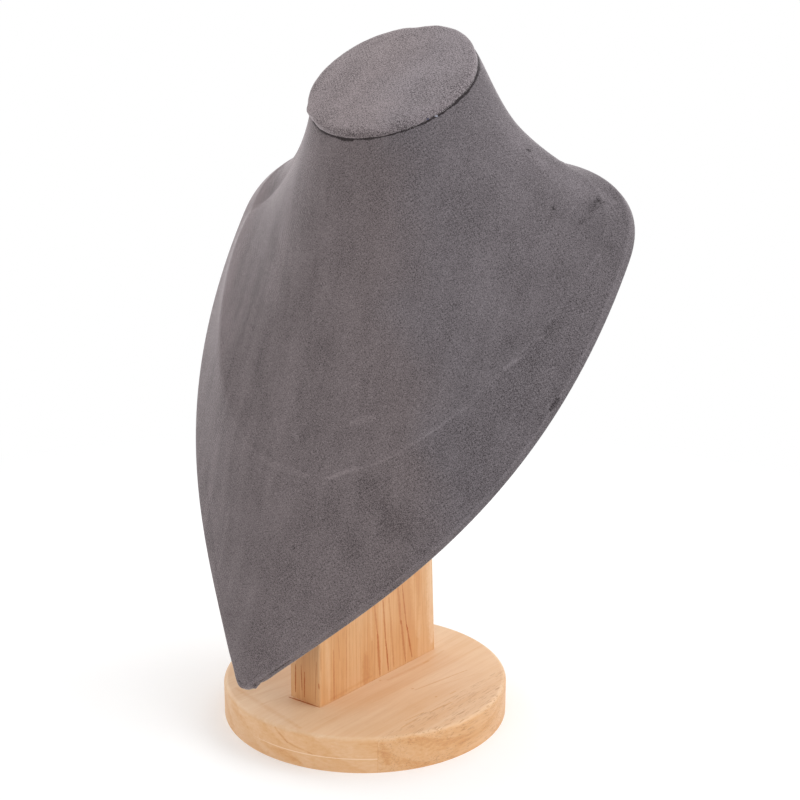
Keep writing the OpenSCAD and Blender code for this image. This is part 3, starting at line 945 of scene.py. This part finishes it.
def halfLines():
    # the right half's outline, crease and places round the neck, from the tip to the nape
    b = bust
    nSide, nShoulder, nNape = finish["aroundSteps"]
    k = np.arange(nSide + nShoulder + nNape + 1)
    side = (np.minimum(k, nSide) / nSide) ** b["tipCrowd"]
    shoulder = np.clip((k - nSide) / nShoulder, 0, 1)
    nape = np.maximum(0, (k - nSide - nShoulder) / nNape)
    onSide, onShoulder = k <= nSide, k <= nSide + nShoulder
    outline = halfOutline(side, shoulder, nape, onSide, onShoulder)
    along = np.gradient(outline, axis=0)
    outward = np.stack([along[:, 1], -along[:, 0]], -1) / np.linalg.norm(along, axis=1)[:, None]
    outward[0], outward[-1] = (0, -1), (0, 1)
    # the crease runs up inside the side, and then follows the outline at the border's width
    start, end = np.array([0, b["creaseUp"]]), np.array([b["halfWidth"] - b["borderWidth"], b["wideUp"]])
    pullOut, pullDown = b["creasePulls"] * (end - start)
    crease = bezier([start, start + [pullOut, 0], end - [0, pullDown], end], side)
    border = b["borderWidth"] + (b["napeEdge"][0] - b["borderWidth"]) * shoulder
    crease = np.where(onSide[:, None], crease, outline - border[:, None] * outward)
    sideHeight = b["creaseHeight"] + (b["borderHeight"] - b["creaseHeight"]) * side ** b["creasePower"]
    napeHeight = b["borderHeight"] + (b["napeEdge"][1] - b["borderHeight"]) * shoulder
    creaseHeight = np.where(onSide, sideHeight, napeHeight)
    angle = neck["angleAtWide"] * side + (neck["angleAtShoulder"] - neck["angleAtWide"]) * shoulder
    angle = angle + (180 - neck["angleAtShoulder"]) * nape
    return outline, outward, crease, creaseHeight, angle, nape


neckMiddle = np.array([0, neck["up"], neck["out"]])
neckAxis = np.array([0, sinDeg(neck["tilt"]), cosDeg(neck["tilt"])])
neckFront = np.array([0, -cosDeg(neck["tilt"]), sinDeg(neck["tilt"])])


def neckRing(angle, grow):
    across = (neck["width"] / 2 + grow) * sinDeg(angle)
    ahead = (neck["depth"] / 2 + grow) * cosDeg(angle)
    return neckMiddle + np.stack([across, 0 * across, 0 * across], -1) + ahead[:, None] * neckFront


def roundedCorner(before, corner, after, reach, rows):
    # rows that round a corner, from reach before it to reach after it
    ends = []
    for other in (before, after):
        side = other - corner
        run = np.minimum(reach, finish["cornerShare"] * np.linalg.norm(side, axis=1))
        ends.append(corner + unit(side) * run[:, None])
    return [bezier([ends[0], corner, ends[1]], t) for t in np.linspace(0, 1, rows)]


def chestRings(ridge, angle, nape):
    # rings of the form's face from the crease to the neck's end, and which way is out of the neck
    ring = neckRing(angle, 0)
    out = unit(neckRing(angle, 1) - ring)
    inwards = (ring - ridge) * [1, 1, 0]
    sideways, ahead = sinDeg(angle) ** 2, np.maximum(0, cosDeg(angle)) ** 2
    slope = neck["frontSlope"] * ahead + neck["sideSlope"] * sideways
    climb = np.tan(np.radians(slope)) * np.linalg.norm(inwards, axis=1)
    leave = neck["leaveShare"] * (inwards + withHeight(np.zeros((len(climb), 2)), climb))
    leave = leave + (np.array([0, 0, neck["napeRise"]]) - leave) * nape[:, None]
    flare = neck["flareSide"] * sideways + neck["flareFront"] * ahead
    arrive = ring - neck["straight"] * neckAxis + flare[:, None] * out
    shares = np.linspace(0, 1, finish["chestRows"] + 1)
    return [wholeRing(bezier([ridge, ridge + leave, arrive, ring], s)) for s in shares], wholeRing(out)


def coverRows():
    # rows of the velvet's face from its hem's edge on the back to the neck's end, and which rows are the
    # middle of the edge and of the crease
    outline, outward, crease, creaseHeight, angle, nape = halfLines()
    b = bust
    off = b["cloth"] + b["glue"]
    grown = outline + off * outward
    back = -b["boardThick"] - off
    hemLine = outline + (np.array(b["middle"]) - outline) * b["hem"] / b["halfWidth"]
    hemEdge, lowCorner = wholeRing(withHeight(hemLine, back)), wholeRing(withHeight(grown, back))
    topCorner = wholeRing(withHeight(grown, b["edgeHeight"] + finish["topShare"] * off))
    chest, neckOut = chestRings(withHeight(crease, b["edgeHeight"] + creaseHeight), angle, nape)
    # the form's face is moved out by the cloth's thickness along its normal
    faces = []
    for r, row in enumerate(chest):
        around = np.roll(row, -1, 0) - np.roll(row, 1, 0)
        upwards = chest[min(r + 1, len(chest) - 1)] - (chest[r - 1] if r else topCorner)
        faces.append(row + off * unit(np.cross(around, upwards)))
    # the cut edge is a little frayed at the tip
    along = np.concatenate([[0], np.cumsum(np.linalg.norm(np.diff(outline, axis=0), axis=1))])
    along = np.concatenate([along, -along[-2:0:-1]])
    bumps = sum(out * np.exp(-((along - where) / width) ** 2) for where, width, out in b["tipBumps"])
    push = bumps[:, None] * wholeRing(withHeight(outward, 0))
    lowCorner, topCorner = lowCorner + push, topCorner + finish["topShare"] * push
    n = finish["roundRows"]
    rows = [hemEdge, hemEdge + (lowCorner - hemEdge) * finish["cornerShare"]]
    rows += roundedCorner(hemEdge, lowCorner, topCorner, finish["edgeRound"], n)
    edgeAt = len(rows) + n // 2
    rows += roundedCorner(lowCorner, topCorner, faces[0], finish["edgeRound"], n)
    # the rounded crease takes the place of the chest's first two rows
    creaseRows = roundedCorner(topCorner, faces[0], faces[2], finish["creaseRound"], 2 * n - 1)
    start, end = rows[-1], creaseRows[0]
    rows += [start + (end - start) * s for s in np.linspace(0, 1, finish["borderRows"] + 1)[1:-1]]
    creaseAt = len(rows) + n - 1
    rows += creaseRows + faces[2:]
    # the cut edge turns in under the cap
    lip = rows[-1] - finish["lipRound"] * neckOut
    rows[-1] = rows[-1] - finish["lipDrop"] * neckAxis
    rows.append((rows[-1] + lip) / 2 + finish["lipRise"] * neckAxis)
    return rows, edgeAt, creaseAt


def gridMesh(name, rows):
    # a quad sheet through rows of points that each go once round
    n = len(rows[0])
    faces = [(r * n + k, r * n + (k + 1) % n, (r + 1) * n + (k + 1) % n, (r + 1) * n + k)
             for r in range(len(rows) - 1) for k in range(n)]
    mesh = bpy.data.meshes.new(name)
    mesh.from_pydata([tuple(v) for v in np.vstack(rows)], [], faces)
    return addPiece(name, mesh)


def addPiece(name, mesh):
    mesh.shade_smooth()
    piece = bpy.data.objects.new(name, mesh)
    scene.collection.objects.link(piece)
    return piece


def floatAttribute(piece, name, values):
    attribute = piece.data.attributes.new(name, "FLOAT", "POINT")
    attribute.data.foreach_set("value", np.asarray(values, np.float32).ravel())


def mergePoints(piece):
    work = bmesh.new()
    work.from_mesh(piece.data)
    bmesh.ops.remove_doubles(work, verts=work.verts, dist=1e-6)
    work.to_mesh(piece.data)
    work.free()


def closeThin(piece, thickness):
    # gives a sheet its cloth's thickness, inwards
    solid = piece.modifiers.new("clothThickness", "SOLIDIFY")
    solid.thickness, solid.offset = thickness * mm, -1


def makeCover():
    rows, edgeAt, creaseAt = coverRows()
    grid = np.array(rows)
    steps = np.linalg.norm(np.diff(grid, axis=0), axis=2)
    run = np.vstack([np.zeros(grid.shape[1]), np.cumsum(steps, axis=0)])
    piece = gridMesh("velvetCover", inFront(grid))
    floatAttribute(piece, "creaseOff", run - run[creaseAt])
    floatAttribute(piece, "edgeOff", run - run[edgeAt])
    floatAttribute(piece, "seamOff", run[-2] - run - cap["hang"])
    closeThin(piece, bust["cloth"])
    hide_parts("front_cover")
    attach(piece, "root")
    dress(piece, makeVelvet("coverVelvet", velvet["plainNap"], velvetMarks, surfaceOf(piece), True, True))


cap = {
    "thick": 3.7,  # board and both layers of velvet
    "cloth": 0.65,
    "overhang": 1.3,
    "steps": 180,
    "waves": [(0.5, 2.5, 3), (0.25, 5.5, 8)],  # of the rim: height, seed, turns
    "wavesOut": 0.6,
    "wavesUp": 0.3,
    "puckers": [(0.3, 7.5, 16)],
    "pillow": 0.6,
    "hang": 1.1,  # how far the rim hangs below the neck's end
    "hangTo": (92, 122),  # degrees round the rim from the front, where it hangs less and where no more
    "bumps": [(188, 9, -0.9), (-50, 5, 0.9), (125, 25, -0.35)],  # where and how wide in degrees, how far out
    # under the rim: how far in from the edge, how high, how much it puckers and hangs, how far from the seam
    "under": [
        (9, 0.12, 0, 0, 0), (8.6, 0.6, 0, 0, 0), (4, 0.45, 0.2, 0, 0), (2.2, 0.35, 0.3, 0, 0),
        (0.9, 0.3, 0.3, 0, 0), (0.44, 0.12, 0.6, 0.8, 0), (0.24, 0, 0.8, 1, 0.1), (0.06, 0.25, 0.8, 1, 0.6),
        (0, 1, 0.5, 0.8, 1.4), (0, 1.9, 0.2, 0.3, 2),
    ],
    "over": [(0.03, 1.2), (0.22, 0.7), (0.6, 0.32), (1.3, 0.08), (2.4, -0.05)],  # over the rim: in, down
    "topShares": (0.86, 0.7, 0.54, 0.38, 0.22, 0.08, 0),
    "farFromSeam": 2,
}
# the glue bead in the seam is also painted shade: nearly black, all round the rim
seamGlueAndShade = {
    "colour": (0.012, 0.012, 0.02, 1),
    "inset": 0.35,
    "up": 0.1,
    "bead": 0.24,
    "beadFrom": 0.12,
    "beadTo": 0.42,
    "waves": [(0.35, 11.5, 14), (0.25, 13.5, 5)],  # height, seed, turns
    "bumps": [(57, 5, 0.3), (2, 9, 0.26), (-58, 14, 0.22)],  # where and how wide in degrees, how thick
    "flat": 0.7,
    "sides": 8,
}


def rimRing(angle, grow, up):
    return neckRing(angle, grow) + np.multiply.outer(up, neckAxis)


def wavesOf(angle, waves):
    radians = [math.radians(a) for a in angle]
    return sum(np.array([noise.noise(Vector((math.cos(a) * turns, math.sin(a) * turns, seed)))
                         for a in radians]) * size for size, seed, turns in waves)


def bumpsOf(angle, bumps):
    whole = 0
    for where, wide, tall in bumps:
        away = (angle - where + 180) % 360 - 180
        whole = whole + tall * np.exp(-(away / wide) ** 2)
    return whole


def makeSeamGlueAndShade(angle, edge, up):
    # the dark glue that has squeezed out between the cap's rim and the neck, in an uneven bead; it is nearly
    # black and runs all round, so it also stands in for the shade in the seam
    glue = seamGlueAndShade
    bead = np.clip(glue["bead"] + wavesOf(angle, glue["waves"]), glue["beadFrom"], glue["beadTo"])
    bead = bead + bumpsOf(angle, glue["bumps"])
    rows = []
    for turn in np.arange(glue["sides"]) * math.tau / glue["sides"]:
        out = edge - glue["inset"] + bead * math.cos(turn) * glue["flat"]
        rows.append(rimRing(angle, out, glue["up"] + up + bead * math.sin(turn)))
    rows.append(rows[0])
    piece = gridMesh("seamGlueAndShade", inFront(np.array(rows))[::-1])
    mergePoints(piece)
    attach(piece, "root")
    dress(piece, makePlain("darkGlueAndShade", glue["colour"], 0.9, gloss=0.1))


def makeCap():
    angle = np.arange(cap["steps"]) * 360 / cap["steps"]
    wave, puckers = wavesOf(angle, cap["waves"]), wavesOf(angle, cap["puckers"])
    edge = cap["overhang"] + cap["wavesOut"] * wave + bumpsOf(angle, cap["bumps"])
    high = cap["thick"] + cap["wavesUp"] * wave
    fromFront = abs((angle + 180) % 360 - 180)
    hangTo, hangEnd = cap["hangTo"]
    hang = cap["hang"] * np.clip((hangEnd - fromFront) / (hangEnd - hangTo), 0, 1)
    rows = [rimRing(angle, edge - inset, up + pucker * puckers - drop * hang)
            for inset, up, pucker, drop, _ in cap["under"]]
    rows += [rimRing(angle, edge - inset, high - drop) for inset, drop in cap["over"]]
    rim, centre = rows[-1], neckMiddle + neckAxis * cap["thick"]
    for share in cap["topShares"]:
        rows.append(centre + (rim - centre) * share + neckAxis * cap["pillow"] * (1 - share ** 2))
    piece = gridMesh("velvetCap", inFront(np.array(rows)))
    fromSeam = [row[-1] for row in cap["under"]]
    fromSeam += [cap["farFromSeam"]] * (len(rows) - len(fromSeam))
    floatAttribute(piece, "seamOff", np.repeat(fromSeam, cap["steps"]))
    mergePoints(piece)
    closeThin(piece, cap["cloth"])
    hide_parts("cap_cover")
    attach(piece, "root")
    dress(piece, makeVelvet("capVelvet", velvet["capNapLit"], capMarks, surfaceOf(piece), seam=True))
    makeSeamGlueAndShade(angle, edge, -hang)
    return piece


# drops of glue on the cap's rim: the photo's pixel, half width and colour
glueDrops = {
    "glueDropPale": ((436, 116), 0.65, (0.42, 0.43, 0.52, 1)),
    "glueDropDark": ((427.5, 119), 0.6, (0.08, 0.08, 0.14, 1)),
}
dropShape = (1.3, 0.8, 0.6)


def makeGlueDrops(rim):
    for name, (pixel, size, colour) in glueDrops.items():
        place = surfaceOf(rim).ray_cast(*pixelRay(*pixel))[0]
        if place is None:
            continue
        work = bmesh.new()
        bmesh.ops.create_icosphere(work, subdivisions=3, radius=size * mm)
        bmesh.ops.scale(work, vec=dropShape, verts=work.verts)
        bmesh.ops.translate(work, vec=place, verts=work.verts)
        mesh = bpy.data.meshes.new(name)
        work.to_mesh(mesh)
        work.free()
        piece = addPiece(name, mesh)
        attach(piece, "root")
        dress(piece, makePlain(name + "Glue", colour, 0.35))


lining = {
    "thick": 1.2,
    "cloth": 0.85,
    "inset": 6,
    "slotFront": 65.2,
    "slotBack": 185.6,
    "slotHalf": 9.6,
    "slotMiddle": 125,
    "rows": 14,
    "rowShares": (0.06, 0.94),
    "edge": [(0, 0.15), (0.05, 0.6), (0.35, 1), (1, 1.18)],  # its rounded edges: how far in, how thick
    "ripple": 0.12,
    "rippleScale": 0.05,
}


def slotPoint(across, up):
    # where the line from the slot's middle through a point leaves the slot
    dx, dy = across, up - lining["slotMiddle"]
    sideways = lining["slotHalf"] / max(abs(dx), 1e-6)
    lengthways = (lining["slotBack"] - lining["slotMiddle"]) / max(abs(dy), 1e-6)
    share = min(sideways, lengthways)
    return dx * share, lining["slotMiddle"] + dy * share


def makeLining():
    outline = halfLines()[0]
    shape = outline + (np.array(bust["middle"]) - outline) * lining["inset"] / bust["halfWidth"]
    shape = wholeRing(withHeight(shape, 0))[:, :2]
    slot = np.array([slotPoint(*point) for point in shape])
    bearing = np.arctan2(shape[:, 0], shape[:, 1] - lining["slotMiddle"])
    for across in (-lining["slotHalf"], lining["slotHalf"]):
        for up in (lining["slotFront"], lining["slotBack"]):
            near = np.abs(bearing - math.atan2(across, up - lining["slotMiddle"])).argmin()
            slot[near] = (across, up)
    back = -bust["boardThick"] - bust["cloth"] - bust["glue"]
    reach = np.linalg.norm(shape - slot, axis=1)[:, None]
    stops = [(inset / reach, depth) for inset, depth in lining["edge"]]
    stops += [(share, lining["thick"]) for share in np.linspace(*lining["rowShares"], lining["rows"])]
    stops += [(1 - inset / reach, depth) for inset, depth in reversed(lining["edge"])]
    grid = np.array([withHeight(shape + (slot - shape) * share, back - depth) for share, depth in stops])
    for row in grid[3:-3]:
        for point in row:
            ripple = noise.fractal(Vector(point) * lining["rippleScale"], 1.0, 2.0, 3)
            point[2] += lining["ripple"] * ripple
    piece = gridMesh("backLining", inFront(grid)[:, ::-1])
    closeThin(piece, lining["cloth"])
    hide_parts("back_lining")
    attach(piece, "root")
    dress(piece, makeVelvet("liningVelvet", velvet["plainNap"]))


makeCover()
makeGlueDrops(makeCap())
makeLining()
print("velvet pieces made")
